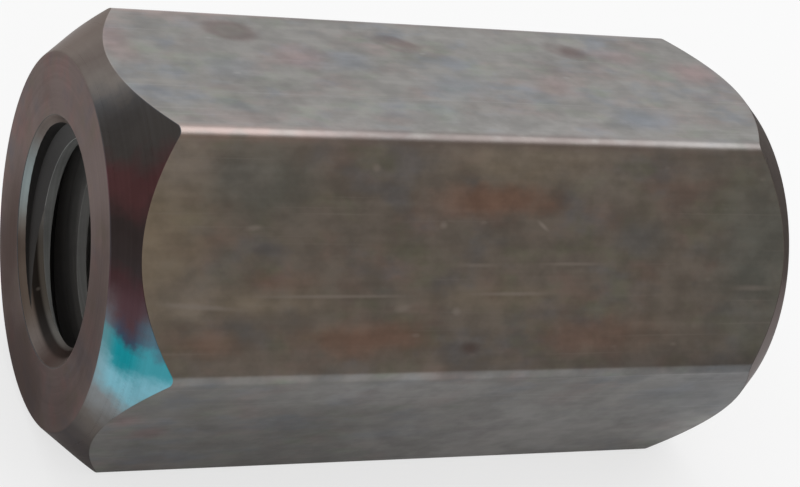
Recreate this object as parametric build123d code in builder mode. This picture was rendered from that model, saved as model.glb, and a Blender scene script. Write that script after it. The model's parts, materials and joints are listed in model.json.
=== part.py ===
from build123d import *
import math
import os

# A coupling nut, which joins two threaded rods end to end. It is one piece, turned and tapped from
# hexagonal bar. All sizes are in millimetres. The nut lies on one of its flats with its thread along X,
# and the origin is on the surface that it lies on, under its middle.

# The hexagonal bar. Its long edges are rounded as drawn bar is.
across_flats = 13.0
length = 24.0
long_edge_radius = 0.4

# The cone turned on both ends. It leaves a round end face that lies inside the flats.
face_inset = 0.46
cone_angle = 50.0
face_rim_radius = 0.12

# The coarse M8 thread, drilled through at the size of its crests, and the countersink at both mouths.
thread_diameter = 8.0
thread_pitch = 1.25
countersink_margin = 0.02
countersink_angle = 90.0
mouth_rim_radius = 0.06

# A metric thread's crests stand 5/8 of its sharp height in from its outer diameter.
crest_share = 5 / 8
sharp_thread_height = thread_pitch * math.cos(math.radians(30))
crest_radius = thread_diameter / 2 - crest_share * sharp_thread_height
mouth_radius = thread_diameter / 2 + countersink_margin

# The thread's axis, and the two planes that the bar's section and the turned profile are drawn on.
axis_height = across_flats / 2
thread_axis = Axis((0, 0, axis_height), (1, 0, 0))
section_plane = Plane((-length / 2, 0, axis_height), x_dir=(0, 1, 0), z_dir=(1, 0, 0))
turning_plane = Plane((0, 0, axis_height), x_dir=(1, 0, 0), z_dir=(0, -1, 0))

# The turned profile runs up each cone to a radius that is clear of the bar's sharp corners.
end_face_radius = across_flats / 2 - face_inset
clear_radius = across_flats / 2 / math.cos(math.radians(30)) + long_edge_radius
cone_length = (clear_radius - end_face_radius) * math.tan(math.radians(cone_angle))

with BuildPart() as coupling_nut:
    with BuildSketch(section_plane) as bar_section:
        RegularPolygon(across_flats / 2, side_count=6, major_radius=False)
        fillet(bar_section.vertices(), radius=long_edge_radius)
    extrude(amount=length)

    with BuildSketch(turning_plane) as turned_profile:
        with BuildLine() as half_profile:
            Polyline(
                (-length / 2, 0),
                (-length / 2, end_face_radius),
                (-length / 2 + cone_length, clear_radius),
                (length / 2 - cone_length, clear_radius),
                (length / 2, end_face_radius),
                (length / 2, 0),
                close=True,
            )
        make_face()
    revolve(axis=thread_axis, mode=Mode.INTERSECT)

    end_faces = coupling_nut.faces().filter_by(GeomType.PLANE).filter_by(Axis.X)
    end_face_rims = end_faces.edges()
    fillet(end_face_rims, radius=face_rim_radius)

    end_faces = coupling_nut.faces().filter_by(GeomType.PLANE).filter_by(Axis.X)
    with Locations(*[Location(Plane(face)) for face in end_faces]):
        CounterSinkHole(
            radius=crest_radius,
            counter_sink_radius=mouth_radius,
            counter_sink_angle=countersink_angle,
        )

    end_faces = coupling_nut.faces().filter_by(GeomType.PLANE).filter_by(Axis.X)
    mouth_rims = end_faces.edges().filter_by(lambda edge: edge.radius < end_face_radius - face_rim_radius)
    fillet(mouth_rims, radius=mouth_rim_radius)

coupling_nut.part.label = "coupling_nut"

os.makedirs("parts", exist_ok=True)
export_step(coupling_nut.part, "parts/coupling_nut.step")
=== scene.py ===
import json
import math

import bmesh
import bpy
from mathutils import Matrix, Quaternion, Vector


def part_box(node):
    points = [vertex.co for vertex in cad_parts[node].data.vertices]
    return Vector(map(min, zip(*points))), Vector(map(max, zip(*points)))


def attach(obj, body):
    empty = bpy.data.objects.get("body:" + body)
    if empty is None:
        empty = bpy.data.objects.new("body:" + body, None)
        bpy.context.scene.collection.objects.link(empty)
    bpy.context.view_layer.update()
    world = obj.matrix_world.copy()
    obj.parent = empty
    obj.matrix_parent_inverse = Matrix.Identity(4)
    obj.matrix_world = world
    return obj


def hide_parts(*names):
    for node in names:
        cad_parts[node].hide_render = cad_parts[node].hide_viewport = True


bl_info = {
    "name": "Coupling Nut",
    "version": (1, 0, 0),
    "blender": (4, 5, 0),
    "location": "3D View > Sidebar > Coupling Nut",
    "description": "Models, threads and finishes a long hexagonal coupling nut, with a plain studio for it",
    "category": "Add Mesh",
}

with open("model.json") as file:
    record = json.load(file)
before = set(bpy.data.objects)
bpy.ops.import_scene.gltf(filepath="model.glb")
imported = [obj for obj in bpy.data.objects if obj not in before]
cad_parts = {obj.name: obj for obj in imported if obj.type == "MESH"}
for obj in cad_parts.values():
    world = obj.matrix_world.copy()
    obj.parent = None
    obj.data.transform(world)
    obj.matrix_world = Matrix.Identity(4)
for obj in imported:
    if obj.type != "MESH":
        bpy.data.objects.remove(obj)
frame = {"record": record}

# The nut's box and its hole, as the frame gives them.
NODE = "coupling_nut"
BODY = "root"
CAD_LOW, CAD_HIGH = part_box(NODE)
HOLE = next(mount for mount in frame["record"]["mounts"] if mount["kind"] == "threaded_hole")

MM = 0.001
AXIS_HEIGHT = (CAD_LOW.z + CAD_HIGH.z) / 2
HALF_THREAD_ANGLE = math.radians(30)
HEXAGON = 6

# How finely the round forms are cut. The thread's steps are turned half a round step, clear of the drill's.
ROUND_STEPS = 192
THREAD_STEPS = 64
HALF_STEP = math.pi / ROUND_STEPS
EDGE_SEGMENTS = 10
RIM_SEGMENTS = 3
OVERLAP = 1.0 * MM
CORE_CLEARANCE = 0.1 * MM
CREASE_ANGLE = math.radians(7)
MERGE_DISTANCE = 0.001 * MM

# Finishes, in the order of the nut's material slots.
FLATS, CONES, ENDS, THREAD = range(4)


class NutSizes(bpy.types.PropertyGroup):
    """Sizes of the coupling nut, which lies on one flat with its thread along X"""

    across_flats: bpy.props.FloatProperty(
        name="Across Flats",
        description="Distance between opposite flats of the hexagonal bar",
        default=CAD_HIGH.z - CAD_LOW.z,
        unit="LENGTH",
    )
    length: bpy.props.FloatProperty(
        name="Length",
        description="Distance between the end faces",
        default=CAD_HIGH.x - CAD_LOW.x,
        unit="LENGTH",
    )
    long_edge_radius: bpy.props.FloatProperty(
        name="Long Edge Radius",
        description="Rounding of the bar's six long edges",
        default=0.4 * MM,
        unit="LENGTH",
    )
    face_inset: bpy.props.FloatProperty(
        name="End Face Inset",
        description="How far the round end face lies inside the flats",
        default=0.46 * MM,
        unit="LENGTH",
    )
    cone_angle: bpy.props.FloatProperty(
        name="Cone Angle",
        description="Angle between the turned cone and the end face",
        default=math.radians(50),
        subtype="ANGLE",
    )
    cone_runout: bpy.props.FloatVectorProperty(
        name="Cone Runout",
        description="How far the near end's cone and end face lie off the bar's middle",
        default=(0.0, 0.13 * MM, -0.115 * MM),
        subtype="TRANSLATION",
    )
    rim_round: bpy.props.FloatProperty(
        name="End Face Rim",
        description="How far the rim of each end face is rounded off",
        default=0.05 * MM,
        unit="LENGTH",
    )
    mouth_round: bpy.props.FloatProperty(
        name="Mouth Rim",
        description="How far the rim of each mouth is rounded off",
        default=0.03 * MM,
        unit="LENGTH",
    )
    arc_round: bpy.props.FloatProperty(
        name="Arc Rounding",
        description="How far the arcs where the cones cut the flats are rounded off",
        default=0.03 * MM,
        unit="LENGTH",
    )
    crest_radius: bpy.props.FloatProperty(
        name="Crest Radius",
        description="Radius of the hole at the thread's crests",
        default=HOLE["dims"]["r_mm"] * MM,
        unit="LENGTH",
    )
    root_radius: bpy.props.FloatProperty(
        name="Root Radius",
        description="Radius of the hole at the thread's roots",
        default=4.0 * MM,
        unit="LENGTH",
    )
    thread_pitch: bpy.props.FloatProperty(
        name="Thread Pitch",
        description="Distance between neighbouring crests of the thread",
        default=1.25 * MM,
        unit="LENGTH",
    )
    thread_shift: bpy.props.FloatProperty(
        name="Thread Shift",
        description="How far the thread is moved along its axis",
        default=-0.16 * MM,
        unit="LENGTH",
    )
    thread_dirt: bpy.props.FloatProperty(
        name="Dirt in Thread",
        description="How deep old grease and dirt fill the thread's roots",
        default=0.2 * MM,
        unit="LENGTH",
    )
    countersink_margin: bpy.props.FloatProperty(
        name="Countersink Margin",
        description="How far the countersink's mouth is wider than the thread's roots, on the radius",
        default=0.02 * MM,
        unit="LENGTH",
    )
    countersink_angle: bpy.props.FloatProperty(
        name="Countersink Angle",
        description="Full angle of the countersink at each mouth",
        default=math.radians(90),
        subtype="ANGLE",
    )


def colour(name, description, red, green, blue):
    """A colour property, as linear red, green and blue."""
    return bpy.props.FloatVectorProperty(
        name=name,
        description=description,
        default=(red, green, blue, 1.0),
        size=4,
        min=0.0,
        max=1.0,
        subtype="COLOR",
    )


class NutFinish(bpy.types.PropertyGroup):
    """Colours of the nut's plated steel, of what years of handling left on it, and of the highlight and shade painted
    on it
    """

    drawn: colour("Drawn Flats", "Plating on the drawn flats", 0.215, 0.208, 0.198)
    drawn_warm: colour("Warm Cast", "Brownish cast of the plating on the flats", 0.24, 0.2, 0.19)
    drawn_cool: colour("Cool Cast", "Bluish cast of the plating on the flats", 0.185, 0.2, 0.225)
    drawn_green: colour("Green Cast", "Greenish cast of the plating on the flats", 0.2, 0.22, 0.18)
    # The rubbed colours are partly real wear and partly a painted highlight: they set how bright the softbox's
    # reflection reads along the upper long edges. The same bright colour also paints the lighter strips of the pale
    # patches.
    bright_wear_and_highlight: colour("Rubbed Edges", "Plating that is rubbed bright along the edges", 0.36, 0.35, 0.345)
    dull_edge_dimmer_highlight: colour("Dull Edge", "Brownish middle stretch of the rubbed edges", 0.2, 0.166, 0.16)
    copper_edge_highlight: colour("Coppery Edge", "Pinkish bright part of the rubbed edges", 0.4, 0.31, 0.29)
    rose: colour("Rose Patches", "Faint rose patches on the plating", 0.25, 0.185, 0.182)
    stain: colour("Stains", "Mauve-brown stains on the top flat", 0.12, 0.085, 0.08)
    rust: colour("Brown Patches", "Thin reddish-brown patches on the front flat", 0.265, 0.185, 0.155)
    slate: colour("Slate Patches", "Grey-green patches on the front flat", 0.185, 0.205, 0.2)
    olive: colour("Olive Patches", "Paler olive plating beside the near cone", 0.3, 0.275, 0.225)
    faced: colour("End Faces", "Dull brownish plating on the faced ends", 0.178, 0.149, 0.145)
    faced_dark: colour("Dark End Face", "Darker sides of the near end face", 0.06, 0.045, 0.042)
    edge_tint: colour("Edge Tint", "Dull brownish glint of the turned faces at a glancing angle", 0.6, 0.54, 0.52)
    sink: colour("Countersink", "Brownish grey of the countersinks", 0.168, 0.148, 0.137)
    # Painted reflection: the bright countersink colour is a glint of the pale floor painted onto the countersink.
    sink_glint: colour("Bright Countersink", "Bluish bright part of a countersink", 0.24, 0.285, 0.29)
    sink_line: colour("Countersink Line", "Cleaner line round a countersink's foot", 0.1, 0.098, 0.093)
    thread: colour("Thread Crests", "Dull plating on the thread's crests", 0.24, 0.245, 0.238)
    thread_deep: colour("Deeper Thread", "Cleaner plating deeper in the thread", 0.3, 0.295, 0.285)
    # The thread grime colour is partly dirt and partly painted shade, dark in the grooves and inside the
    # countersinks.
    thread_grime_and_shade: colour("Thread Grime", "Old oil and dirt in the grooves near the mouths", 0.023, 0.0215, 0.021)
    film_grey: colour("Film Grey", "Plain grey part of the cones' film", 0.175, 0.158, 0.145)
    film_shade: colour("Film Shade", "Brownish grey part of the cones' film", 0.13, 0.112, 0.103)
    film_slate: colour("Film Slate", "Dark grey part of the cones' film", 0.092, 0.096, 0.104)
    film_maroon: colour("Film Maroon", "Maroon part of the cones' film", 0.128, 0.067, 0.08)
    film_plum: colour("Film Plum", "Dark plum part of the cones' film", 0.085, 0.047, 0.055)
    film_indigo: colour("Film Indigo", "Dark blue part of the cones' film", 0.045, 0.07, 0.11)
    film_rim: colour("Film Rim", "Greyer film along the rim of the end face", 0.25, 0.27, 0.28)
    film_black: colour("Film Black", "Nearly black part of the cones' film", 0.062, 0.055, 0.062)
    film_teal: colour("Film Teal", "Teal part of the cones' film", 0.012, 0.265, 0.315)
    film_pale: colour("Film Pale Blue", "Pale blue part of the cones' film", 0.22, 0.5, 0.6)


def object_of(name, work):
    """Puts a bmesh into a new object of the scene."""
    mesh = bpy.data.meshes.new(name)
    work.to_mesh(mesh)
    work.free()
    made = bpy.data.objects.new(name, mesh)
    bpy.context.scene.collection.objects.link(made)
    return made


def spun(profile, rounded=None, radius=0.0):
    """Spins a list of (along, radius) points round the thread's axis, with the rounded ones filleted."""
    work = bmesh.new()
    corners = [work.verts.new((along, 0, height)) for along, height in profile]
    for pair in zip(corners, corners[1:]):
        work.edges.new(pair)
    if rounded:
        bmesh.ops.bevel(
            work,
            geom=[corners[index] for index in rounded],
            offset=radius,
            offset_type="OFFSET",
            segments=RIM_SEGMENTS,
            profile=0.5,
            affect="VERTICES",
            material=-1,
        )
    bmesh.ops.spin(
        work,
        geom=work.verts[:] + work.edges[:],
        cent=(0, 0, 0),
        axis=(1, 0, 0),
        angle=2 * math.pi,
        steps=ROUND_STEPS,
        use_merge=True,
    )
    bmesh.ops.remove_doubles(work, verts=work.verts, dist=MERGE_DISTANCE)
    bmesh.ops.recalc_face_normals(work, faces=work.faces)
    bmesh.ops.translate(work, verts=work.verts, vec=(0, 0, AXIS_HEIGHT))
    return work


def make_bar(sizes):
    """The hexagonal bar with rounded long edges, lying on a flat and a little too long."""
    work = bmesh.new()
    bar_length = sizes.length + 2 * OVERLAP
    corner_radius = sizes.across_flats / 2 / math.cos(math.pi / HEXAGON)
    bmesh.ops.create_circle(work, cap_ends=True, segments=HEXAGON, radius=corner_radius)
    spread = max(work.verts, key=lambda corner: corner.co.x)
    level = math.radians(90) - math.atan2(spread.co.y, spread.co.x)
    stand = Matrix.Rotation(math.radians(90), 4, "Y") @ Matrix.Rotation(level, 4, "Z")
    bmesh.ops.transform(work, matrix=stand, verts=work.verts)
    bmesh.ops.translate(work, verts=work.verts, vec=(-bar_length / 2, 0, AXIS_HEIGHT))
    pushed = bmesh.ops.extrude_face_region(work, geom=work.faces[:])
    far_corners = [item for item in pushed["geom"] if isinstance(item, bmesh.types.BMVert)]
    bmesh.ops.translate(work, verts=far_corners, vec=(bar_length, 0, 0))
    bmesh.ops.recalc_face_normals(work, faces=work.faces)
    long_edges = [edge for edge in work.edges if edge.calc_length() > sizes.across_flats]
    bmesh.ops.bevel(
        work,
        geom=long_edges,
        offset=sizes.long_edge_radius * math.tan(math.pi / HEXAGON),
        offset_type="OFFSET",
        segments=EDGE_SEGMENTS,
        profile=0.5,
        affect="EDGES",
        material=-1,
    )
    return object_of("bar", work)


def make_turned_body(sizes):
    """The body of both end faces and cones, which the bar is cut to."""
    half = sizes.length / 2
    face_radius = sizes.across_flats / 2 - sizes.face_inset
    clear_radius = sizes.across_flats / 2 / math.cos(math.pi / HEXAGON) + OVERLAP
    rise = (clear_radius - face_radius) * math.tan(sizes.cone_angle)
    profile = [
        (-half, 0),
        (-half, face_radius),
        (-half + rise, clear_radius),
        (half - rise, clear_radius),
        (half, face_radius),
        (half, 0),
    ]
    work = spun(profile, rounded=(1, 4), radius=sizes.rim_round)
    near_end = [corner for corner in work.verts if corner.co.x < 0]
    bmesh.ops.translate(work, verts=near_end, vec=sizes.cone_runout)
    return object_of("turned_body", work)


def make_drill(sizes):
    """The drill with both countersinks, which leaves the hole at the thread's crests."""
    half = sizes.length / 2
    mouth_radius = sizes.root_radius + sizes.countersink_margin
    slope = math.tan(sizes.countersink_angle / 2)
    sink_depth = (mouth_radius - sizes.crest_radius) / slope
    outer_radius = mouth_radius + OVERLAP
    profile = [
        (-half - OVERLAP, 0),
        (-half - OVERLAP, outer_radius),
        (-half, outer_radius),
        (-half, mouth_radius),
        (-half + sink_depth, sizes.crest_radius),
        (half - sink_depth, sizes.crest_radius),
        (half, mouth_radius),
        (half, outer_radius),
        (half + OVERLAP, outer_radius),
        (half + OVERLAP, 0),
    ]
    work = spun(profile, rounded=(3, 6), radius=sizes.mouth_round)
    return object_of("drill", work)


def make_tap(sizes):
    """The tap, whose ridges cut the thread's grooves down to their dirt. Its core stays clear of the hole."""
    pitch = sizes.thread_pitch
    core_radius = sizes.crest_radius - CORE_CLEARANCE
    cut_radius = sizes.root_radius - sizes.thread_dirt
    ridge_top = pitch / 16 + sizes.thread_dirt * math.tan(HALF_THREAD_ANGLE)
    ridge_foot = ridge_top + (cut_radius - core_radius) * math.tan(HALF_THREAD_ANGLE)
    ridge = [
        (-ridge_foot, core_radius),
        (-ridge_top, cut_radius),
        (ridge_top, cut_radius),
        (ridge_foot, core_radius),
        (pitch - ridge_foot, core_radius),
    ]
    turns = math.ceil(sizes.length / pitch) + 4
    start = sizes.thread_shift - turns * pitch / 2
    work = bmesh.new()
    corners = [work.verts.new((start + along, 0, radius)) for along, radius in ridge]
    edges = [work.edges.new(pair) for pair in zip(corners, corners[1:])]
    bmesh.ops.spin(
        work,
        geom=corners + edges,
        cent=(0, 0, 0),
        axis=(1, 0, 0),
        dvec=(pitch / THREAD_STEPS, 0, 0),
        angle=2 * math.pi * turns,
        steps=THREAD_STEPS * turns,
        use_merge=False,
    )
    bmesh.ops.remove_doubles(work, verts=work.verts, dist=MERGE_DISTANCE)
    for side in (-1, 1):
        bmesh.ops.bisect_plane(
            work,
            geom=work.verts[:] + work.edges[:] + work.faces[:],
            dist=MERGE_DISTANCE / 10,
            plane_co=(side * (sizes.length / 2 + pitch), 0, 0),
            plane_no=(side, 0, 0),
            clear_outer=True,
        )
    rims = [edge for edge in work.edges if edge.is_boundary]
    bmesh.ops.holes_fill(work, edges=rims, sides=0)
    bmesh.ops.recalc_face_normals(work, faces=work.faces)
    turn = Matrix.Rotation(HALF_STEP, 4, "X")
    bmesh.ops.transform(work, matrix=turn, verts=work.verts)
    bmesh.ops.translate(work, verts=work.verts, vec=(0, 0, AXIS_HEIGHT))
    return object_of("tap", work)


def cut(body, tool, operation):
    """Cuts a body with a tool, which is used up."""
    cutting = body.modifiers.new(operation.title(), "BOOLEAN")
    cutting.operation = operation
    cutting.object = tool
    cutting.solver = "EXACT"
    evaluated = body.evaluated_get(bpy.context.evaluated_depsgraph_get())
    mesh = bpy.data.meshes.new_from_object(evaluated)
    body.modifiers.clear()
    uncut = body.data
    body.data = mesh
    bpy.data.meshes.remove(uncut)
    bpy.data.objects.remove(tool)


def finish_of(face, sizes):
    """Tells which of the nut's four finishes a face has, from its place and the way it faces."""
    centre = face.calc_center_median()
    radius = math.hypot(centre.y, centre.z - AXIS_HEIGHT)
    lean = abs(face.normal.x)
    if radius > sizes.root_radius + sizes.countersink_margin:
        if lean > 0.95:
            return ENDS
        return CONES if lean > 0.2 else FLATS
    is_sink = abs(lean - math.sin(sizes.countersink_angle / 2)) < 0.05
    near_end = abs(centre.x) > sizes.length / 2 - OVERLAP
    return ENDS if is_sink and near_end else THREAD


def round_arcs(nut, sizes):
    """Rounds the arcs where the turned cones cut the flats, and marks each face with its finish."""
    work = bmesh.new()
    work.from_mesh(nut.data)
    for face in work.faces:
        face.material_index = finish_of(face, sizes)
    arcs = [
        edge
        for edge in work.edges
        if {face.material_index for face in edge.link_faces} == {FLATS, CONES}
    ]
    bmesh.ops.bevel(
        work,
        geom=arcs,
        offset=sizes.arc_round,
        offset_type="OFFSET",
        segments=2,
        profile=0.5,
        affect="EDGES",
        clamp_overlap=True,
        material=CONES,
    )
    work.to_mesh(nut.data)
    work.free()


class Wiring:
    """Adds nodes to a material or to a node group, and joins them up."""

    def __init__(self, tree):
        self.tree = tree

    def join(self, value, socket):
        """Gives a socket a link or a plain value."""
        if isinstance(value, bpy.types.NodeSocket):
            self.tree.links.new(value, socket)
        else:
            socket.default_value = value

    def node(self, kind, sockets=None, **settings):
        """Adds a node, with its settings and with what goes into its sockets."""
        made = self.tree.nodes.new(kind)
        for name, value in settings.items():
            setattr(made, name, value)
        for key, value in (sockets or {}).items():
            self.join(value, made.inputs[key])
        return made

    def group(self, tree, **sockets):
        """Places a node group, its sockets named with underscores for spaces."""
        named = {key.replace("_", " "): value for key, value in sockets.items()}
        return self.node("ShaderNodeGroup", named, node_tree=tree).outputs

    def math(self, operation, first, second=0.0, third=0.0, clamp=False):
        sockets = {0: first, 1: second, 2: third}
        return self.node("ShaderNodeMath", sockets, operation=operation, use_clamp=clamp).outputs[0]

    def distance(self, across, height):
        squares = self.math("ADD", self.math("POWER", across, 2.0), self.math("POWER", height, 2.0))
        return self.math("SQRT", squares)

    def blend(self, share, first, second, kind="MIX"):
        """Mixes two colours."""
        mixer = self.node("ShaderNodeMix", data_type="RGBA", blend_type=kind)
        self.join(share, mixer.inputs[0])
        self.join(first, mixer.inputs[6])
        self.join(second, mixer.inputs[7])
        return mixer.outputs[2]

    def shade(self, strength, tone):
        """Makes a colour lighter or darker by a strength near 1."""
        grey = self.node("ShaderNodeCombineColor", {0: strength, 1: strength, 2: strength}).outputs[0]
        return self.blend(1.0, tone, grey, "MULTIPLY")

    def fade(self, value, start, end, low=0.0, high=1.0):
        """Maps a value smoothly from low at start to high at end."""
        sockets = {"Value": value, "From Min": start, "From Max": end, "To Min": low, "To Max": high}
        return self.node("ShaderNodeMapRange", sockets, interpolation_type="SMOOTHSTEP").outputs[0]

    def waver(self, place):
        """A value that drifts round 0 from place to place."""
        return self.math("SUBTRACT", self.noise(place, (1.2, 1.2, 1.2), detail=4.0, roughness=0.6), 0.5)

    def noise(self, place, stretch, detail=2.0, roughness=0.5, shift=(0, 0, 0)):
        """Noise of scale 1 per millimetre, stretched along the axes and shifted."""
        sized = self.node("ShaderNodeMapping", {"Vector": place, "Scale": stretch, "Location": shift})
        sockets = {"Vector": sized.outputs[0], "Scale": 1.0, "Detail": detail, "Roughness": roughness}
        return self.node("ShaderNodeTexNoise", sockets).outputs["Fac"]


def new_group(name, takes, gives):
    """Starts a node group. Gives its wiring, its inputs and its outputs."""
    tree = bpy.data.node_groups.new(name, "ShaderNodeTree")
    for label, kind, default in takes:
        socket = tree.interface.new_socket(label, in_out="INPUT", socket_type=f"NodeSocket{kind}")
        socket.default_value = default
    for label, kind in gives:
        tree.interface.new_socket(label, in_out="OUTPUT", socket_type=f"NodeSocket{kind}")
    wiring = Wiring(tree)
    return wiring, wiring.node("NodeGroupInput").outputs, wiring.node("NodeGroupOutput").inputs


PLACE = ("Place", "Vector", (0, 0, 0))


def form_group(sizes):
    """Where a point of the nut is, in millimetres and degrees."""
    gives = (
        ("Place", "Vector"),
        ("Along", "Float"),
        ("Angle", "Float"),
        ("Radius", "Float"),
        ("Turned Radius", "Float"),
        ("Long Edge", "Float"),
        ("Arc", "Float"),
    )
    wires, _, ends = new_group("nut form", (), gives)
    spot = wires.node("ShaderNodeTexCoord").outputs["Object"]
    centring = {"Vector": spot, "Location": (0, 0, -AXIS_HEIGHT / MM), "Scale": (1 / MM, 1 / MM, 1 / MM)}
    place = wires.node("ShaderNodeMapping", centring).outputs[0]
    along, across, height = wires.node("ShaderNodeSeparateXYZ", {0: place}).outputs
    toward = wires.math("MULTIPLY", across, -1.0)
    angle = wires.math("DEGREES", wires.math("ARCTAN2", toward, height))
    radius = wires.distance(across, height)
    is_near = wires.math("LESS_THAN", along, 0.0)
    off_across = wires.math("MULTIPLY_ADD", is_near, -sizes.cone_runout[1] / MM, across)
    off_height = wires.math("MULTIPLY_ADD", is_near, -sizes.cone_runout[2] / MM, height)
    turned_radius = wires.distance(off_across, off_height)

    # The distances from the axis to a point, square to each pair of flats. The nearest long edge is where two agree.
    lean = wires.math("MULTIPLY", across, math.sin(math.radians(60)))
    half_height = wires.math("MULTIPLY", height, 0.5)
    reaches = [
        wires.math("ABSOLUTE", height),
        wires.math("ABSOLUTE", wires.math("ADD", half_height, lean)),
        wires.math("ABSOLUTE", wires.math("SUBTRACT", half_height, lean)),
    ]
    most = wires.math("MAXIMUM", wires.math("MAXIMUM", reaches[0], reaches[1]), reaches[2])
    least = wires.math("MINIMUM", wires.math("MINIMUM", reaches[0], reaches[1]), reaches[2])
    total = wires.math("ADD", wires.math("ADD", reaches[0], reaches[1]), reaches[2])
    middle = wires.math("SUBTRACT", wires.math("SUBTRACT", total, most), least)
    half_flats = sizes.across_flats / 2 / MM
    long_edge = wires.math("SUBTRACT", half_flats, middle)

    face_radius = half_flats - sizes.face_inset / MM
    from_end = wires.math("SUBTRACT", sizes.length / 2 / MM, wires.math("ABSOLUTE", along))
    rise = wires.math("MULTIPLY", wires.math("SUBTRACT", turned_radius, face_radius), math.tan(sizes.cone_angle))
    step_in = wires.math("SUBTRACT", half_flats, most)
    arc = wires.math("ADD", wires.math("ABSOLUTE", wires.math("SUBTRACT", from_end, rise)), step_in)
    for value, socket in zip((place, along, angle, radius, turned_radius, long_edge, arc), ends):
        wires.join(value, socket)
    return wires.tree


def lines_group():
    """Fine lines and scratches that the drawing die left along the bar."""
    outlets = (("Lines", "Float"), ("Scratches", "Float"), ("Mottle", "Float"), ("Height", "Float"))
    wires, takes, gives = new_group("drawn lines", (PLACE,), outlets)
    place = takes["Place"]
    fine = wires.noise(place, (0.22, 3.8, 3.8), detail=2.5, roughness=0.5)
    broad = wires.noise(place, (0.05, 1.1, 1.1), detail=2.0, shift=(3, 0, 0))
    thin = wires.noise(place, (0.12, 7.0, 7.0), detail=1.0, shift=(0, 11, 5))
    scratches = wires.fade(thin, 0.66, 0.75)
    mottle = wires.noise(place, (1.0, 1.25, 1.25), detail=3.0, roughness=0.55, shift=(4, 2, 9))
    lines = wires.math("ADD", wires.math("MULTIPLY", fine, 0.6), wires.math("MULTIPLY", broad, 0.4))
    wires.join(lines, gives["Lines"])
    wires.join(scratches, gives["Scratches"])
    wires.join(mottle, gives["Mottle"])
    wires.join(wires.math("SUBTRACT", fine, wires.math("MULTIPLY", scratches, 0.5)), gives["Height"])
    return wires.tree


def rings_group():
    """Fine rings that turning left round the axis."""
    takes = (("Radius", "Float", 0.0), ("Along", "Float", 0.0), ("Angle", "Float", 0.0))
    wires, takes, gives = new_group("turned rings", takes, (("Rings", "Float"), ("Height", "Float")))
    turn = wires.math("MULTIPLY", wires.math("ABSOLUTE", takes["Angle"]), 0.006)
    sockets = {0: takes["Radius"], 1: takes["Along"], 2: turn}
    rolled = wires.node("ShaderNodeCombineXYZ", sockets).outputs[0]
    rings = wires.noise(rolled, (9.0, 7.0, 1.0), detail=3.0, roughness=0.6)
    wires.join(rings, gives["Rings"])
    wires.join(rings, gives["Height"])
    return wires.tree


def film_group():
    """Plating whose colour drifts in soft patches between a base and three casts."""
    grey = (0.2, 0.2, 0.2, 1)
    takes = (
        PLACE,
        ("Base", "Color", grey),
        ("Warm", "Color", grey),
        ("Cool", "Color", grey),
        ("Green", "Color", grey),
        ("Scale", "Float", 1.0),
        ("Amount", "Float", 1.0),
    )
    wires, takes, gives = new_group("plating film", takes, (("Color", "Color"),))
    size = wires.node("ShaderNodeVectorMath", {0: takes["Place"], 3: takes["Scale"]}, operation="SCALE").outputs[0]
    colour_now = takes["Base"]
    for name, shift, start in (("Warm", (0, 0, 0), 0.5), ("Cool", (7, 3, 1), 0.52), ("Green", (2, 9, 4), 0.54)):
        patch = wires.noise(size, (0.5, 0.8, 0.8), detail=3.0, roughness=0.55, shift=shift)
        share = wires.math("MULTIPLY", wires.fade(patch, start - 0.04, start + 0.22), takes["Amount"])
        colour_now = wires.blend(share, colour_now, takes[name])
    wires.join(colour_now, gives["Color"])
    return wires.tree


def wear_group():
    """What handling left: edges rubbed bright, whose mask also carries the painted highlight of the long edges, small
    light nicks and grime.
    """
    takes = (PLACE, ("Long Edge", "Float", 1.0), ("Arc", "Float", 1.0))
    gives = (("Rubbed", "Float"), ("Nicks", "Float"), ("Grime", "Float"))
    wires, takes, gives = new_group("handling wear", takes, gives)
    place = takes["Place"]
    patchy = wires.fade(wires.noise(place, (1.3, 1.5, 1.5), detail=3.0), 0.35, 0.62)
    edge = wires.fade(takes["Long Edge"], 0.4, 0.08)
    arc = wires.math("MULTIPLY", wires.fade(takes["Arc"], 0.12, 0.0), 0.25)
    rubbed = wires.math("MULTIPLY", wires.math("MAXIMUM", edge, arc), wires.math("MULTIPLY_ADD", patchy, 0.6, 0.4))
    cells = wires.node("ShaderNodeMapping", {"Vector": place, "Scale": (0.55, 1.1, 1.1)}).outputs[0]
    dots = wires.node("ShaderNodeTexVoronoi", {"Vector": cells, "Scale": 1.0, "Randomness": 1.0})
    chosen = wires.math("GREATER_THAN", wires.node("ShaderNodeSeparateColor", {0: dots.outputs["Color"]}).outputs[0], 0.62)
    nicks = wires.math("MULTIPLY", wires.fade(dots.outputs["Distance"], 0.11, 0.03), chosen)
    grime = wires.fade(wires.noise(place, (0.35, 0.5, 0.5), detail=5.0, roughness=0.6, shift=(5, 5, 5)), 0.45, 0.75)
    for name, value in (("Rubbed", rubbed), ("Nicks", nicks), ("Grime", grime)):
        wires.join(value, gives[name])
    return wires.tree


def spot_group():
    """A soft spot of radius 1 and the ring round it, both made uneven by a wavering value."""
    takes = (("Local", "Vector", (0, 0, 0)), ("Waver", "Float", 0.0), ("Uneven", "Float", 0.3))
    wires, takes, gives = new_group("soft spot", takes, (("Spot", "Float"), ("Ring", "Float")))
    far = wires.node("ShaderNodeVectorMath", {0: takes["Local"]}, operation="LENGTH").outputs["Value"]
    far = wires.math("MULTIPLY_ADD", takes["Waver"], takes["Uneven"], far)
    wires.join(wires.fade(far, 1.0, 0.1), gives["Spot"])
    wires.join(wires.fade(wires.math("ABSOLUTE", wires.math("SUBTRACT", far, 0.7)), 0.42, 0.0), gives["Ring"])
    return wires.tree


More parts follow.
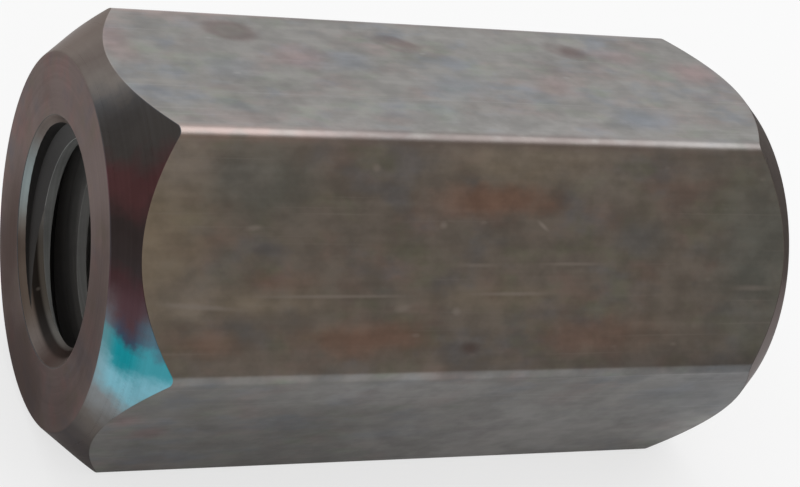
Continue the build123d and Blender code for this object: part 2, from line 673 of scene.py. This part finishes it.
def flat_frame(angle, along, across, half_length, half_width, tilt=0.0, reach=None):
    """Mapping that puts a mark on a flat, angle degrees round from the top, with the mark's own size as 1."""
    turn = Matrix.Rotation(math.radians(angle), 3, "X")
    middle = turn @ Vector((along, across, (reach if reach else CAD_HIGH.z / 2 / MM)))
    spin = (turn @ Matrix.Rotation(math.radians(tilt), 3, "Z")).to_euler("XYZ")
    return {"Location": middle, "Rotation": spin, "Scale": (half_length, half_width, 1.0)}


# Marks on the flats, one list for each kind: flat's angle from the top towards the front, place along and across,
# half length, half width, tilt in degrees, strength.
STAIN_RINGS = (
    (0, -6.65, 2.5, 0.95, 0.72, -8, 0.48),
    (0, -0.9, 2.15, 0.95, 0.55, -28, 0.3),
    (0, 5.6, 2.25, 0.9, 0.55, -24, 0.3),
)
STAIN_SPOTS = (
    (0, -6.6, 2.45, 1.3, 0.95, -8, 0.5),
    (0, -0.7, 2.25, 0.95, 0.5, -24, 0.65),
    (0, 5.8, 2.2, 0.9, 0.6, -10, 0.9),
    (0, -8.0, -1.2, 1.0, 0.35, -6, 0.3),
)
RUST_PATCHES = (
    (60, 0.3, 1.8, 3.6, 0.75, 0, 0.9),
    (60, -4.0, -2.5, 3.4, 0.8, 0, 0.8),
    (60, -9.0, -2.6, 1.6, 0.6, 0, 0.5),
    (60, -6.8, -0.75, 1.6, 0.5, 0, 0.4),
    (60, 4.4, -2.5, 3.2, 1.0, 0, 0.5),
)
ROSE_PATCHES = (
    (0, -4.8, 0.9, 1.6, 1.1, 0, 0.7),
    (0, 4.1, -0.4, 1.3, 1.0, 0, 0.6),
    (0, 10.4, 1.0, 1.5, 1.2, 0, 0.9),
    (0, 7.6, 2.0, 1.6, 0.8, 0, 0.6),
    (0, -10.8, 1.4, 0.9, 1.8, 0, 0.6),
    (120, -10.8, 0.9, 0.9, 0.7, 0, 0.9),
    (120, -9.7, -0.2, 0.8, 0.8, 0, 0.9),
)
COOL_PATCHES = (
    (0, -3.0, 0.8, 1.2, 0.9, 0, 0.6),
    (0, 6.4, -2.3, 2.0, 1.1, 0, 0.9),
    (0, 0.2, -0.6, 1.8, 1.2, 0, 0.6),
    (0, -7.4, 0.0, 1.4, 1.1, 0, 0.4),
    (60, 5.6, 0.6, 1.2, 0.7, 0, 0.5),
)
SLATE_PATCHES = (
    (60, -7.6, 2.2, 2.4, 1.7, 0, 0.95),
    (60, -8.6, -0.1, 0.8, 0.8, 0, 0.6),
    (60, 10.6, 0.3, 3.2, 5.5, 0, 0.95),
    (60, 5.6, 0.6, 1.8, 1.0, 0, 0.5),
)
OLIVE_PATCHES = (
    (60, -11.4, 0.8, 3.6, 5.0, 0, 0.85),
    (60, 1.4, 3.0, 4.0, 1.1, 0, 0.7),
    (60, -8.0, -1.4, 3.8, 0.7, 0, 0.6),
    (60, 0.5, -1.3, 4.0, 0.6, 0, 0.35),
)
# Partly pale plating and partly painted light: lighter strips beside the upper long edge on the top and front flats,
# where its highlight spreads, and lighter stretches of the lower flat, as its reflection of the floor.
PAINTED_LIGHT_AND_PALE_PATCHES = (
    (120, 4.0, -1.6, 9.0, 5.0, 0, 0.8),
    (120, -2.6, 2.6, 7.0, 1.6, 0, 0.5),
    (60, 1.0, 3.4, 14.0, 1.2, 0, 0.22),
    (60, -10.2, 2.7, 1.8, 1.4, 0, 0.4),
    (60, -9.8, -1.3, 1.4, 0.9, 0, 0.35),
    (60, 4.4, 2.2, 1.9, 1.0, 0, 0.3),
    (60, -7.9, 2.3, 1.4, 0.9, 0, 0.25),
    (60, -1.9, 1.8, 1.6, 0.8, 0, 0.2),
    (0, -1.0, -3.0, 14.0, 1.4, 0, 0.2),
)
# Painted shade: the far end of the lower flat and the bottom of the front flat are darkened.
PAINTED_SHADE_PATCHES = (
    (120, 9.9, 2.2, 4.4, 4.4, 0, 0.75),
    (60, 6.0, -3.5, 7.0, 0.8, 0, 0.3),
)
BRIGHT_NICKS = (
    (60, 2.1, 1.0, 0.36, 0.11, -38, 1.0),
    (60, -7.75, 0.86, 0.4, 0.14, 8, 0.55),
    (60, -1.45, 1.0, 0.2, 0.16, 0, 0.6),
    (60, -2.75, -1.58, 0.45, 0.18, 12, 0.6),
    (60, -0.9, -1.7, 0.22, 0.2, 0, 0.55),
    (60, -3.8, 2.72, 0.2, 0.18, 0, 0.5),
    (60, -5.1, -1.2, 3.4, 0.09, 0, 0.6),
    (60, -9.3, -1.5, 1.7, 0.13, -4, 0.6),
    (60, 1.0, -1.15, 1.9, 0.1, 0, 0.6),
    (60, 3.2, -0.2, 1.6, 0.09, 0, 0.5),
    (60, -0.2, -0.25, 0.8, 0.1, 0, 0.4),
    (60, 10.2, -1.0, 1.2, 0.14, 0, 0.4),
)
DARK_SPOTS = ((60, -0.4, -2.85, 0.5, 0.3, 0, 0.6),)


def add_marks(wires, place, spot, waver, start, marks, colour_of_mark, outlet="Spot", uneven=0.5):
    """Lays marks of one colour over a colour."""
    for angle, along, across, half_length, half_width, tilt, strength in marks:
        sockets = flat_frame(angle, along, across, half_length, half_width, tilt)
        local = wires.node("ShaderNodeMapping", {"Vector": place, **sockets}, vector_type="TEXTURE").outputs[0]
        mark = wires.group(spot, Local=local, Waver=waver, Uneven=uneven)[outlet]
        start = wires.blend(wires.math("MULTIPLY", mark, strength), start, colour_of_mark)
    return start


def new_metal(name, metallic=1.0, roughness=0.35, edge_tint=(1, 1, 1, 1)):
    """A material with its wiring and its shader. The edge tint is how much it mirrors at a glancing angle."""
    metal = bpy.data.materials.new(name)
    metal.use_nodes = True
    wires = Wiring(metal.node_tree)
    shader = metal.node_tree.nodes["Principled BSDF"].inputs
    shader["Metallic"].default_value = metallic
    shader["Roughness"].default_value = roughness
    shader["Specular Tint"].default_value = edge_tint
    return metal, wires, shader


def add_bump(wires, shader, height, depth, strength=1.0):
    bump = wires.node("ShaderNodeBump", {"Height": height, "Strength": strength, "Distance": depth})
    wires.join(bump.outputs[0], shader["Normal"])


def drawn_metal(sizes, finish, groups):
    """The drawn flats and rounded long edges."""
    metal, wires, shader = new_metal("drawn flats")
    form = wires.group(groups["form"])
    place = form["Place"]
    lines = wires.group(groups["lines"], Place=place)
    wear = wires.group(groups["wear"], Place=place, Long_Edge=form["Long Edge"], Arc=form["Arc"])
    tone = wires.group(
        groups["film"],
        Place=place,
        Base=finish.drawn,
        Warm=finish.drawn_warm,
        Cool=finish.drawn_cool,
        Green=finish.drawn_green,
        Scale=1.0,
        Amount=0.75,
    )["Color"]
    spot = groups["spot"]
    waver = wires.waver(place)
    tone = add_marks(wires, place, spot, waver, tone, OLIVE_PATCHES, finish.olive, uneven=0.7)
    tone = add_marks(wires, place, spot, waver, tone, SLATE_PATCHES, finish.slate, uneven=0.9)
    tone = add_marks(wires, place, spot, waver, tone, RUST_PATCHES, finish.rust, uneven=0.9)
    tone = add_marks(wires, place, spot, waver, tone, PAINTED_LIGHT_AND_PALE_PATCHES, finish.bright_wear_and_highlight, uneven=0.5)
    tone = add_marks(wires, place, spot, waver, tone, PAINTED_SHADE_PATCHES, finish.film_slate, uneven=0.5)
    tone = add_marks(wires, place, spot, waver, tone, ROSE_PATCHES, finish.rose, uneven=0.9)
    tone = add_marks(wires, place, spot, waver, tone, COOL_PATCHES, finish.drawn_cool, uneven=0.9)
    tone = add_marks(wires, place, spot, waver, tone, STAIN_RINGS, finish.stain, "Ring", uneven=0.35)
    tone = add_marks(wires, place, spot, waver, tone, STAIN_SPOTS, finish.stain, uneven=0.6)
    strength = wires.fade(lines["Lines"], 0.3, 0.7, 0.94, 1.06)
    strength = wires.math("MULTIPLY", strength, wires.fade(lines["Mottle"], 0.3, 0.7, 0.87, 1.13))
    strength = wires.math("MULTIPLY", strength, wires.math("MULTIPLY_ADD", wear["Grime"], -0.16, 1.06))
    tone = wires.shade(strength, tone)
    # Painted highlight in part: the rubbed edge colour is coppery and bright at the near end, dull in the middle and
    # brighter again near the far end. Only the upper edges get it, so the softbox's reflection reads brighter or
    # dimmer along the edge.
    rubbed_highlight_tone = wires.blend(wires.fade(form["Along"], -9.0, 7.0), finish.copper_edge_highlight, finish.bright_wear_and_highlight)
    rubbed_far_highlight = wires.math("MULTIPLY", wires.fade(form["Along"], 4.0, 8.0), wires.fade(form["Along"], 10.6, 9.0))
    rubbed_far_highlight = wires.math("MULTIPLY", rubbed_far_highlight, 0.7)
    rubbed_highlight_share = wires.math("MAXIMUM", wires.fade(form["Along"], -3.0, -8.0), rubbed_far_highlight)
    height = wires.node("ShaderNodeSeparateXYZ", {0: place}).outputs["Z"]
    rubbed_highlight_tone = wires.blend(rubbed_highlight_share, finish.dull_edge_dimmer_highlight, rubbed_highlight_tone)
    rubbed_highlight_share = wires.math("MULTIPLY", wear["Rubbed"], wires.fade(height, 1.0, 4.0))
    tone = wires.blend(wires.math("MULTIPLY", rubbed_highlight_share, 0.75), tone, rubbed_highlight_tone)
    scratched = wires.math("MULTIPLY", lines["Scratches"], 0.14)
    bright = wires.math("MAXIMUM", wires.math("MULTIPLY", wear["Nicks"], 0.3), scratched)
    tone = wires.blend(bright, tone, finish.bright_wear_and_highlight)
    tone = add_marks(wires, place, spot, waver, tone, BRIGHT_NICKS, finish.bright_wear_and_highlight, uneven=0.4)
    tone = add_marks(wires, place, spot, waver, tone, DARK_SPOTS, finish.stain, uneven=0.5)
    wires.join(tone, shader["Base Color"])
    rough = wires.math("MULTIPLY_ADD", lines["Lines"], 0.1, 0.27)
    rough = wires.math("MULTIPLY_ADD", wear["Grime"], 0.08, rough)
    wires.join(wires.math("MULTIPLY_ADD", wear["Rubbed"], 0.06, rough), shader["Roughness"])
    add_bump(wires, shader, lines["Height"], 0.0026 * MM)
    return metal


# The film on the near cone: degrees round from the top towards the front, and the finish there.
CONE_FILM = (
    (-180, "film_shade"),
    (-165, "film_slate"),
    (-68, "film_slate"),
    (-53, "film_grey"),
    (-14, "film_grey"),
    (-3, "film_shade"),
    (8, "film_grey"),
    (18, "film_slate"),
    (32, "film_slate"),
    (41, "film_maroon"),
    (45, "film_maroon"),
    (54, "film_black"),
    (63, "film_black"),
    (69, "film_plum"),
    (77, "film_plum"),
    (83, "film_indigo"),
    (87, "film_teal"),
    (91, "film_teal"),
    (97, "film_pale"),
    (99, "film_pale"),
    (107, "film_rim"),
    (119, "film_grey"),
    (138, "film_slate"),
    (180, "film_shade"),
)
FAR_CONE_TURN = -73.0


def turned_metal(sizes, finish, groups):
    """The turned cones, whose film runs from grey through maroon to teal and pale blue."""
    metal, wires, shader = new_metal("turned cones", edge_tint=finish.edge_tint)
    form = wires.group(groups["form"])
    place = form["Place"]
    rings = wires.group(groups["rings"], Radius=form["Turned Radius"], Along=form["Along"], Angle=form["Angle"])
    wear = wires.group(groups["wear"], Place=place, Long_Edge=form["Long Edge"], Arc=form["Arc"])
    waver = wires.waver(place)
    off_middle = wires.math("SUBTRACT", form["Turned Radius"], 6.55)
    off_middle = wires.math("MAXIMUM", wires.math("MULTIPLY", off_middle, 0.3), wires.math("MULTIPLY", off_middle, -1.0))
    turned = wires.math("MULTIPLY_ADD", waver, 14.0, form["Angle"])
    turned = wires.math("MULTIPLY_ADD", off_middle, 9.0, turned)
    is_far = wires.math("GREATER_THAN", form["Along"], 0.0)
    turned = wires.math("MULTIPLY_ADD", is_far, FAR_CONE_TURN, turned)
    share = wires.math("FRACT", wires.math("MULTIPLY_ADD", turned, 1 / 360, 0.5))
    ramp = wires.node("ShaderNodeValToRGB", {"Fac": share})
    stops = ramp.color_ramp.elements
    while len(stops) < len(CONE_FILM):
        stops.new(0.5)
    for stop, (angle, name) in zip(stops, CONE_FILM):
        stop.position = (angle + 180) / 360
        stop.color = getattr(finish, name)
    strength = wires.fade(rings["Rings"], 0.3, 0.7, 0.96, 1.04)
    strength = wires.math("MULTIPLY", strength, wires.math("MULTIPLY_ADD", wear["Grime"], -0.2, 1.08))
    near_rim = wires.math("MULTIPLY", wires.fade(form["Turned Radius"], 6.4, 6.05), 0.4)
    bluish = wires.fade(wires.math("ABSOLUTE", wires.math("SUBTRACT", turned, 92.0)), 22.0, 8.0)
    tone = wires.blend(wires.math("MULTIPLY", near_rim, bluish), ramp.outputs["Color"], finish.film_rim)
    # Painted glint: a pale-blue band along the outer part of the cone where its film is teal.
    outer_glint = wires.math("MULTIPLY", wires.fade(form["Turned Radius"], 6.6, 7.0), 0.22)
    tone = wires.blend(wires.math("MULTIPLY", outer_glint, bluish), tone, finish.film_pale)
    # Painted shade: the far cone is darkened towards black from about 60 degrees round from the top downwards.
    far_low_painted_shade = wires.math("MULTIPLY", wires.fade(form["Angle"], 60.0, 78.0), 0.8)
    tone = wires.blend(wires.math("MULTIPLY", far_low_painted_shade, is_far), tone, finish.film_black)
    tone = wires.shade(strength, tone)
    tone = wires.blend(wires.math("MULTIPLY", wear["Nicks"], 0.2), tone, finish.bright_wear_and_highlight)
    wires.join(tone, shader["Base Color"])
    wires.join(wires.math("MULTIPLY_ADD", rings["Rings"], 0.1, 0.24), shader["Roughness"])
    add_bump(wires, shader, rings["Height"], 0.0024 * MM)
    return metal


# Darker parts of the near end face, partly painted shade, and a dark part and a painted bright glint of its
# countersink, which stands for the floor's reflection: place across and up, half width, half height, strength.
FACE_TINT_AND_SHADE_PARTS = (
    (4.0, -2.7, 2.7, 4.2, 0.95),
    (0.6, -5.0, 4.4, 2.8, 0.65),
    (-4.6, 0.8, 2.8, 4.6, 0.55),
    (-3.8, -3.8, 2.2, 2.2, 0.35),
)
DARK_SINK_PARTS = (
    (-1.4, -3.5, 2.6, 1.3, 0.9),
    (3.3, -2.4, 0.9, 0.9, 0.35),
)
SINK_GLINT_PARTS = ((3.75, -0.1, 1.4, 2.2, 1.0),)
END_MARK_DEPTH = 3.0


def add_end_marks(wires, sizes, place, spot, waver, start, marks, colour_of_mark):
    """Lays marks of one colour over a colour, on the near end of the nut."""
    for across, height, half_across, half_height, strength in marks:
        middle = (-sizes.length / 2 / MM, across, height)
        sockets = {"Vector": place, "Location": middle, "Scale": (END_MARK_DEPTH, half_across, half_height)}
        local = wires.node("ShaderNodeMapping", sockets, vector_type="TEXTURE").outputs[0]
        mark = wires.group(spot, Local=local, Waver=waver, Uneven=0.4)["Spot"]
        start = wires.blend(wires.math("MULTIPLY", mark, strength), start, colour_of_mark)
    return start


def faced_metal(sizes, finish, groups):
    """The faced ends and their countersinks."""
    metal, wires, shader = new_metal("faced ends", edge_tint=finish.edge_tint)
    form = wires.group(groups["form"])
    place = form["Place"]
    rings = wires.group(groups["rings"], Radius=form["Radius"], Along=form["Along"], Angle=form["Angle"])
    wear = wires.group(groups["wear"], Place=place, Long_Edge=form["Long Edge"], Arc=form["Arc"])
    tone = wires.group(
        groups["film"],
        Place=place,
        Base=finish.faced,
        Warm=[part * shift for part, shift in zip(finish.faced, (1.2, 0.98, 0.98, 1))],
        Cool=[part * shift for part, shift in zip(finish.faced, (0.8, 0.9, 1.0, 1))],
        Green=[part * shift for part, shift in zip(finish.faced, (0.9, 0.95, 0.85, 1))],
        Scale=0.9,
        Amount=1.0,
    )["Color"]
    spot = groups["spot"]
    waver = wires.waver(place)
    # Partly tint and partly painted shade: the end face darkens towards its bottom and sides.
    tone = add_end_marks(wires, sizes, place, spot, waver, tone, FACE_TINT_AND_SHADE_PARTS, finish.faced_dark)
    sink_tone = add_end_marks(wires, sizes, place, spot, waver, finish.sink, SINK_GLINT_PARTS, finish.sink_glint)
    sink_tone = add_end_marks(wires, sizes, place, spot, waver, sink_tone, DARK_SINK_PARTS, finish.faced_dark)
    crest, root = sizes.crest_radius / MM, sizes.root_radius / MM
    ring_edge = root - sizes.thread_dirt / MM
    # Partly grime and partly painted shade: the countersink turns dark inwards from just inside the thread's roots.
    sink_grime_and_shade_ring = wires.fade(form["Radius"], ring_edge - 0.03, ring_edge - 0.15)
    sink_tone = wires.blend(sink_grime_and_shade_ring, sink_tone, finish.thread_grime_and_shade)
    sink_tone = wires.blend(wires.fade(form["Radius"], crest + 0.19, crest + 0.09), sink_tone, finish.sink_line)
    is_sink = wires.math("LESS_THAN", form["Radius"], root + sizes.countersink_margin / MM)
    tone = wires.blend(is_sink, tone, sink_tone)
    strength = wires.fade(rings["Rings"], 0.3, 0.7, 0.9, 1.1)
    strength = wires.math("MULTIPLY", strength, wires.math("MULTIPLY_ADD", wear["Grime"], -0.22, 1.08))
    tone = wires.shade(strength, tone)
    tone = wires.blend(wires.math("MULTIPLY", wear["Nicks"], 0.2), tone, finish.bright_wear_and_highlight)
    wires.join(tone, shader["Base Color"])
    wires.join(wires.math("MULTIPLY_ADD", rings["Rings"], 0.16, 0.28), shader["Roughness"])
    add_bump(wires, shader, rings["Height"], 0.004 * MM)
    return metal


def tapped_metal(sizes, finish, groups):
    """The thread, dull and dry."""
    metal, wires, shader = new_metal("tapped thread", metallic=0.35)
    form = wires.group(groups["form"])
    wear = wires.group(groups["wear"], Place=form["Place"], Long_Edge=1.0, Arc=1.0)
    rings = wires.group(groups["rings"], Radius=form["Radius"], Along=form["Along"], Angle=form["Angle"])
    strength = wires.fade(rings["Rings"], 0.3, 0.7, 0.88, 1.12)
    strength = wires.math("MULTIPLY", strength, wires.math("MULTIPLY_ADD", wear["Grime"], -0.25, 1.1))
    off_crest = wires.math("SUBTRACT", form["Radius"], sizes.crest_radius / MM)
    depth = wires.math("SUBTRACT", sizes.length / 2 / MM, wires.math("ABSOLUTE", form["Along"]))
    deeper = wires.fade(depth, 1.2, 2.4)
    crests = wires.blend(deeper, finish.thread, finish.thread_deep)
    # Grooves away from the crests get the grime colour near the mouths, partly dirt and partly painted shade, and
    # cleaner plating deeper in.
    grooves = wires.blend(wires.math("MULTIPLY", deeper, 0.55), finish.thread_grime_and_shade, finish.thread_deep)
    tone = wires.blend(wires.fade(off_crest, 0.02, 0.005), grooves, crests)
    wires.join(wires.shade(strength, tone), shader["Base Color"])
    wires.join(wires.math("MULTIPLY_ADD", rings["Rings"], 0.2, 0.36), shader["Roughness"])
    add_bump(wires, shader, rings["Height"], 0.004 * MM)
    return metal


class NUT_OT_make_nut(bpy.types.Operator):
    """Model the nut from bar: turn its ends, drill and tap it, and finish it"""

    bl_idname = "nut.make_nut"
    bl_label = "Make Coupling Nut"

    def execute(self, context):
        sizes = context.scene.nut_sizes
        finish = context.scene.nut_finish
        nut = make_bar(sizes)
        cut(nut, make_turned_body(sizes), "INTERSECT")
        cut(nut, make_drill(sizes), "DIFFERENCE")
        cut(nut, make_tap(sizes), "DIFFERENCE")
        nut.name = "threaded_nut"
        nut.data.name = "threaded_nut"
        groups = {
            "form": form_group(sizes),
            "lines": lines_group(),
            "rings": rings_group(),
            "film": film_group(),
            "wear": wear_group(),
            "spot": spot_group(),
        }
        nut.data.materials.clear()
        for make_metal in (drawn_metal, turned_metal, faced_metal, tapped_metal):
            nut.data.materials.append(make_metal(sizes, finish, groups))
        round_arcs(nut, sizes)
        nut.data.shade_smooth()
        nut.data.set_sharp_from_angle(angle=CREASE_ANGLE)
        weigh = nut.modifiers.new("Weighted Normals", "WEIGHTED_NORMAL")
        weigh.keep_sharp = True
        weigh.weight = 100
        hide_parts(NODE)
        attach(nut, BODY)
        return {"FINISHED"}


# The camera, as the photo was taken: its place, where it looks and how far it is turned about its own axis.
CAMERA_PLACE = Vector((-31.36, -54.12, 42.74)) * MM
CAMERA_AZIMUTH = math.radians(30.27)
CAMERA_ELEVATION = math.radians(30.05)
CAMERA_ROLL = math.radians(16.62)
CAMERA_LENS = 95.5


class StageSettings(bpy.types.PropertyGroup):
    """The plain floor and the soft light"""

    floor: colour("Floor", "Colour of the pale floor", 0.9, 0.9, 0.9)
    card: colour("Card", "Colour of the card behind the camera, which the front of the nut mirrors", 0.4, 0.335, 0.28)
    room_light: bpy.props.FloatProperty(
        name="Room Light",
        description="Strength of the even light from all round",
        default=0.7,
        min=0.0,
    )
    mat: colour("Mat", "Colour of the mat under the nut, which only its metal mirrors", 0.8, 0.8, 0.8)
    flag: colour("Flag", "Colour of the low flag beyond the nut's far end", 0.4, 0.4, 0.4)
    softbox_size: bpy.props.FloatVectorProperty(
        name="Softbox Size",
        description="Length and width of the softbox over the nut",
        default=(0.3, 0.2),
        size=2,
        unit="LENGTH",
    )
    softbox_place: bpy.props.FloatVectorProperty(
        name="Softbox Place",
        description="Middle of the softbox",
        default=(0.12, 0.0, 0.26),
        subtype="TRANSLATION",
    )
    softbox_power: bpy.props.FloatProperty(
        name="Softbox Power",
        description="Power of the softbox",
        default=0.255,
        unit="POWER",
    )


# What the camera, mirrors and glass see of the floor is part white and part lit, so that its shadow stays soft.
FLOOR_GLOW = 0.7
FLOOR_SIZE = 2.0
CARD_RADIUS = 0.24
CARD_HEIGHT = 0.34
CARD_START = math.radians(-130)
CARD_SPAN = math.radians(205)
CARD_STEPS = 24
FLAG_PLACE = (0.033, 0.007, 0.009)
FLAG_TURN = math.radians(24)
FLAG_WIDTH = 0.042
FLAG_HEIGHT = 0.018
MAT_RADIUS = 0.07
MAT_LIFT = 0.02 * MM
MAT_GLOW = 0.1


def seen_rays(wires):
    """Light that goes straight to the camera, or to it from metal or through glass."""
    path = wires.node("ShaderNodeLightPath").outputs
    seen = wires.math("ADD", path["Is Camera Ray"], path["Is Glossy Ray"])
    return wires.math("ADD", seen, path["Is Transmission Ray"], clamp=True)


def make_floor(stage):
    """The pale floor, which keeps the nut's shadow."""
    work = bmesh.new()
    bmesh.ops.create_grid(work, x_segments=1, y_segments=1, size=FLOOR_SIZE)
    floor = object_of("floor", work)
    pale, wires, shader = new_metal("pale floor", metallic=0.0, roughness=1.0)
    shader["Specular IOR Level"].default_value = 0.0
    shader["Base Color"].default_value = stage.floor
    glow = wires.node("ShaderNodeEmission", {"Color": (1, 1, 1, 1), "Strength": 1.0})
    share = wires.math("MULTIPLY", seen_rays(wires), FLOOR_GLOW)
    mix = wires.node("ShaderNodeMixShader", {0: share})
    output = wires.tree.nodes["Material Output"].inputs["Surface"]
    wires.join(wires.tree.nodes["Principled BSDF"].outputs[0], mix.inputs[1])
    wires.join(glow.outputs[0], mix.inputs[2])
    wires.join(mix.outputs[0], output)
    floor.data.materials.append(pale)


def make_card(stage):
    """A tall curved card on the camera's side. Only the metal sees it, in its reflections."""
    work = bmesh.new()
    foot = work.verts.new((0, -CARD_RADIUS, 0))
    top = work.verts.new((0, -CARD_RADIUS, CARD_HEIGHT))
    side = work.edges.new((foot, top))
    bmesh.ops.transform(work, matrix=Matrix.Rotation(CARD_START, 4, "Z"), verts=work.verts)
    bmesh.ops.spin(
        work,
        geom=[foot, top, side],
        cent=(0, 0, 0),
        axis=(0, 0, 1),
        angle=CARD_SPAN,
        steps=CARD_STEPS,
        use_merge=False,
    )
    card = object_of("card", work)
    hide_but_mirrored(card)
    grey, _, shader = new_metal("card", metallic=0.0, roughness=1.0)
    shader["Specular IOR Level"].default_value = 0.0
    shader["Base Color"].default_value = (0, 0, 0, 1)
    # The card glows with its own warm colour, a dim light that the front flat mirrors, though it is no lamp.
    shader["Emission Color"].default_value = stage.card
    shader["Emission Strength"].default_value = 1.0
    card.data.materials.append(grey)


def hide_but_mirrored(thing):
    """Leaves a thing to be seen in reflections alone, with no shadow."""
    thing.visible_camera = False
    thing.visible_diffuse = False
    thing.visible_shadow = False
    thing.visible_transmission = False


def make_flag(stage):
    """A low dark flag beyond the nut's far end. Only the metal sees it."""
    work = bmesh.new()
    bmesh.ops.create_grid(work, x_segments=1, y_segments=1, size=0.5)
    bmesh.ops.scale(work, verts=work.verts, vec=(FLAG_HEIGHT, FLAG_WIDTH, 1))
    stand = Matrix.Rotation(FLAG_TURN, 4, "Z") @ Matrix.Rotation(math.radians(90), 4, "Y")
    bmesh.ops.transform(work, matrix=Matrix.Translation(FLAG_PLACE) @ stand, verts=work.verts)
    flag = object_of("flag", work)
    hide_but_mirrored(flag)
    dark, _, shader = new_metal("flag", metallic=0.0, roughness=1.0)
    shader["Specular IOR Level"].default_value = 0.0
    shader["Base Color"].default_value = stage.flag
    flag.data.materials.append(dark)


def make_mat(stage):
    """A round grey mat under the nut. Only the metal sees it, with the nut's shadow on it."""
    work = bmesh.new()
    bmesh.ops.create_circle(work, cap_ends=True, segments=ROUND_STEPS, radius=MAT_RADIUS)
    bmesh.ops.translate(work, verts=work.verts, vec=(0, 0, MAT_LIFT))
    mat = object_of("mat", work)
    hide_but_mirrored(mat)
    grey, _, shader = new_metal("mat", metallic=0.0, roughness=1.0)
    shader["Specular IOR Level"].default_value = 0.0
    shader["Base Color"].default_value = stage.mat
    shader["Emission Color"].default_value = stage.mat
    shader["Emission Strength"].default_value = MAT_GLOW
    mat.data.materials.append(grey)


def make_room(scene, stage):
    """Even light from all round, which the camera and the metal see as white."""
    room = bpy.data.worlds.new("room")
    scene.world = room
    room.use_nodes = True
    wires = Wiring(room.node_tree)
    light = room.node_tree.nodes["Background"]
    light.inputs["Color"].default_value = (1, 1, 1, 1)
    light.inputs["Strength"].default_value = stage.room_light
    white = wires.node("ShaderNodeBackground", {"Color": (1, 1, 1, 1), "Strength": 1.0})
    mix = wires.node("ShaderNodeMixShader", {0: seen_rays(wires)})
    wires.join(light.outputs[0], mix.inputs[1])
    wires.join(white.outputs[0], mix.inputs[2])
    wires.join(mix.outputs[0], room.node_tree.nodes["World Output"].inputs["Surface"])


def make_softbox(scene, stage):
    """The soft lamp over the nut, which its rounded long edge mirrors."""
    lamp = bpy.data.lights.new("softbox", "AREA")
    lamp.shape = "RECTANGLE"
    lamp.size = stage.softbox_size[0]
    lamp.size_y = stage.softbox_size[1]
    lamp.energy = stage.softbox_power
    softbox = bpy.data.objects.new("softbox", lamp)
    softbox.location = stage.softbox_place
    scene.collection.objects.link(softbox)


def make_camera(scene):
    """The camera, where the photo was taken from."""
    lens = bpy.data.cameras.new("camera")
    lens.lens = CAMERA_LENS
    lens.clip_start = MM
    camera = bpy.data.objects.new("camera", lens)
    level = math.cos(CAMERA_ELEVATION)
    forward = Vector((
        math.sin(CAMERA_AZIMUTH) * level,
        math.cos(CAMERA_AZIMUTH) * level,
        -math.sin(CAMERA_ELEVATION),
    ))
    turn = forward.to_track_quat("-Z", "Y") @ Quaternion((0, 0, 1), CAMERA_ROLL)
    camera.matrix_world = Matrix.Translation(CAMERA_PLACE) @ turn.to_matrix().to_4x4()
    scene.collection.objects.link(camera)
    scene.camera = camera


class NUT_OT_make_stage(bpy.types.Operator):
    """Set the plain floor, the soft studio light and the camera"""

    bl_idname = "nut.make_stage"
    bl_label = "Make Stage"

    def execute(self, context):
        scene = context.scene
        stage = scene.nut_stage
        scene.view_settings.view_transform = "Standard"
        make_camera(scene)
        make_floor(stage)
        make_card(stage)
        make_flag(stage)
        make_mat(stage)
        make_room(scene, stage)
        make_softbox(scene, stage)
        return {"FINISHED"}


class NUT_PT_panel(bpy.types.Panel):
    """Lists the nut's sizes and the steps that make it"""

    bl_label = "Coupling Nut"
    bl_idname = "NUT_PT_panel"
    bl_space_type = "VIEW_3D"
    bl_region_type = "UI"
    bl_category = "Coupling Nut"

    def draw(self, context):
        column = self.layout.column()
        scene = context.scene
        for settings in (scene.nut_sizes, scene.nut_finish, scene.nut_stage):
            for name in settings.__annotations__:
                column.prop(settings, name)
        for operator in OPERATORS:
            column.operator(operator.bl_idname)


OPERATORS = (NUT_OT_make_nut, NUT_OT_make_stage)
CLASSES = (NutSizes, NutFinish, StageSettings, *OPERATORS, NUT_PT_panel)


def register():
    for kind in CLASSES:
        bpy.utils.register_class(kind)
    bpy.types.Scene.nut_sizes = bpy.props.PointerProperty(type=NutSizes)
    bpy.types.Scene.nut_finish = bpy.props.PointerProperty(type=NutFinish)
    bpy.types.Scene.nut_stage = bpy.props.PointerProperty(type=StageSettings)


def unregister():
    del bpy.types.Scene.nut_stage
    del bpy.types.Scene.nut_finish
    del bpy.types.Scene.nut_sizes
    for kind in reversed(CLASSES):
        bpy.utils.unregister_class(kind)


def main():
    register()
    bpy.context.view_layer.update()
    bpy.ops.nut.make_nut()
    bpy.ops.nut.make_stage()


if __name__ == "__main__":
    main()
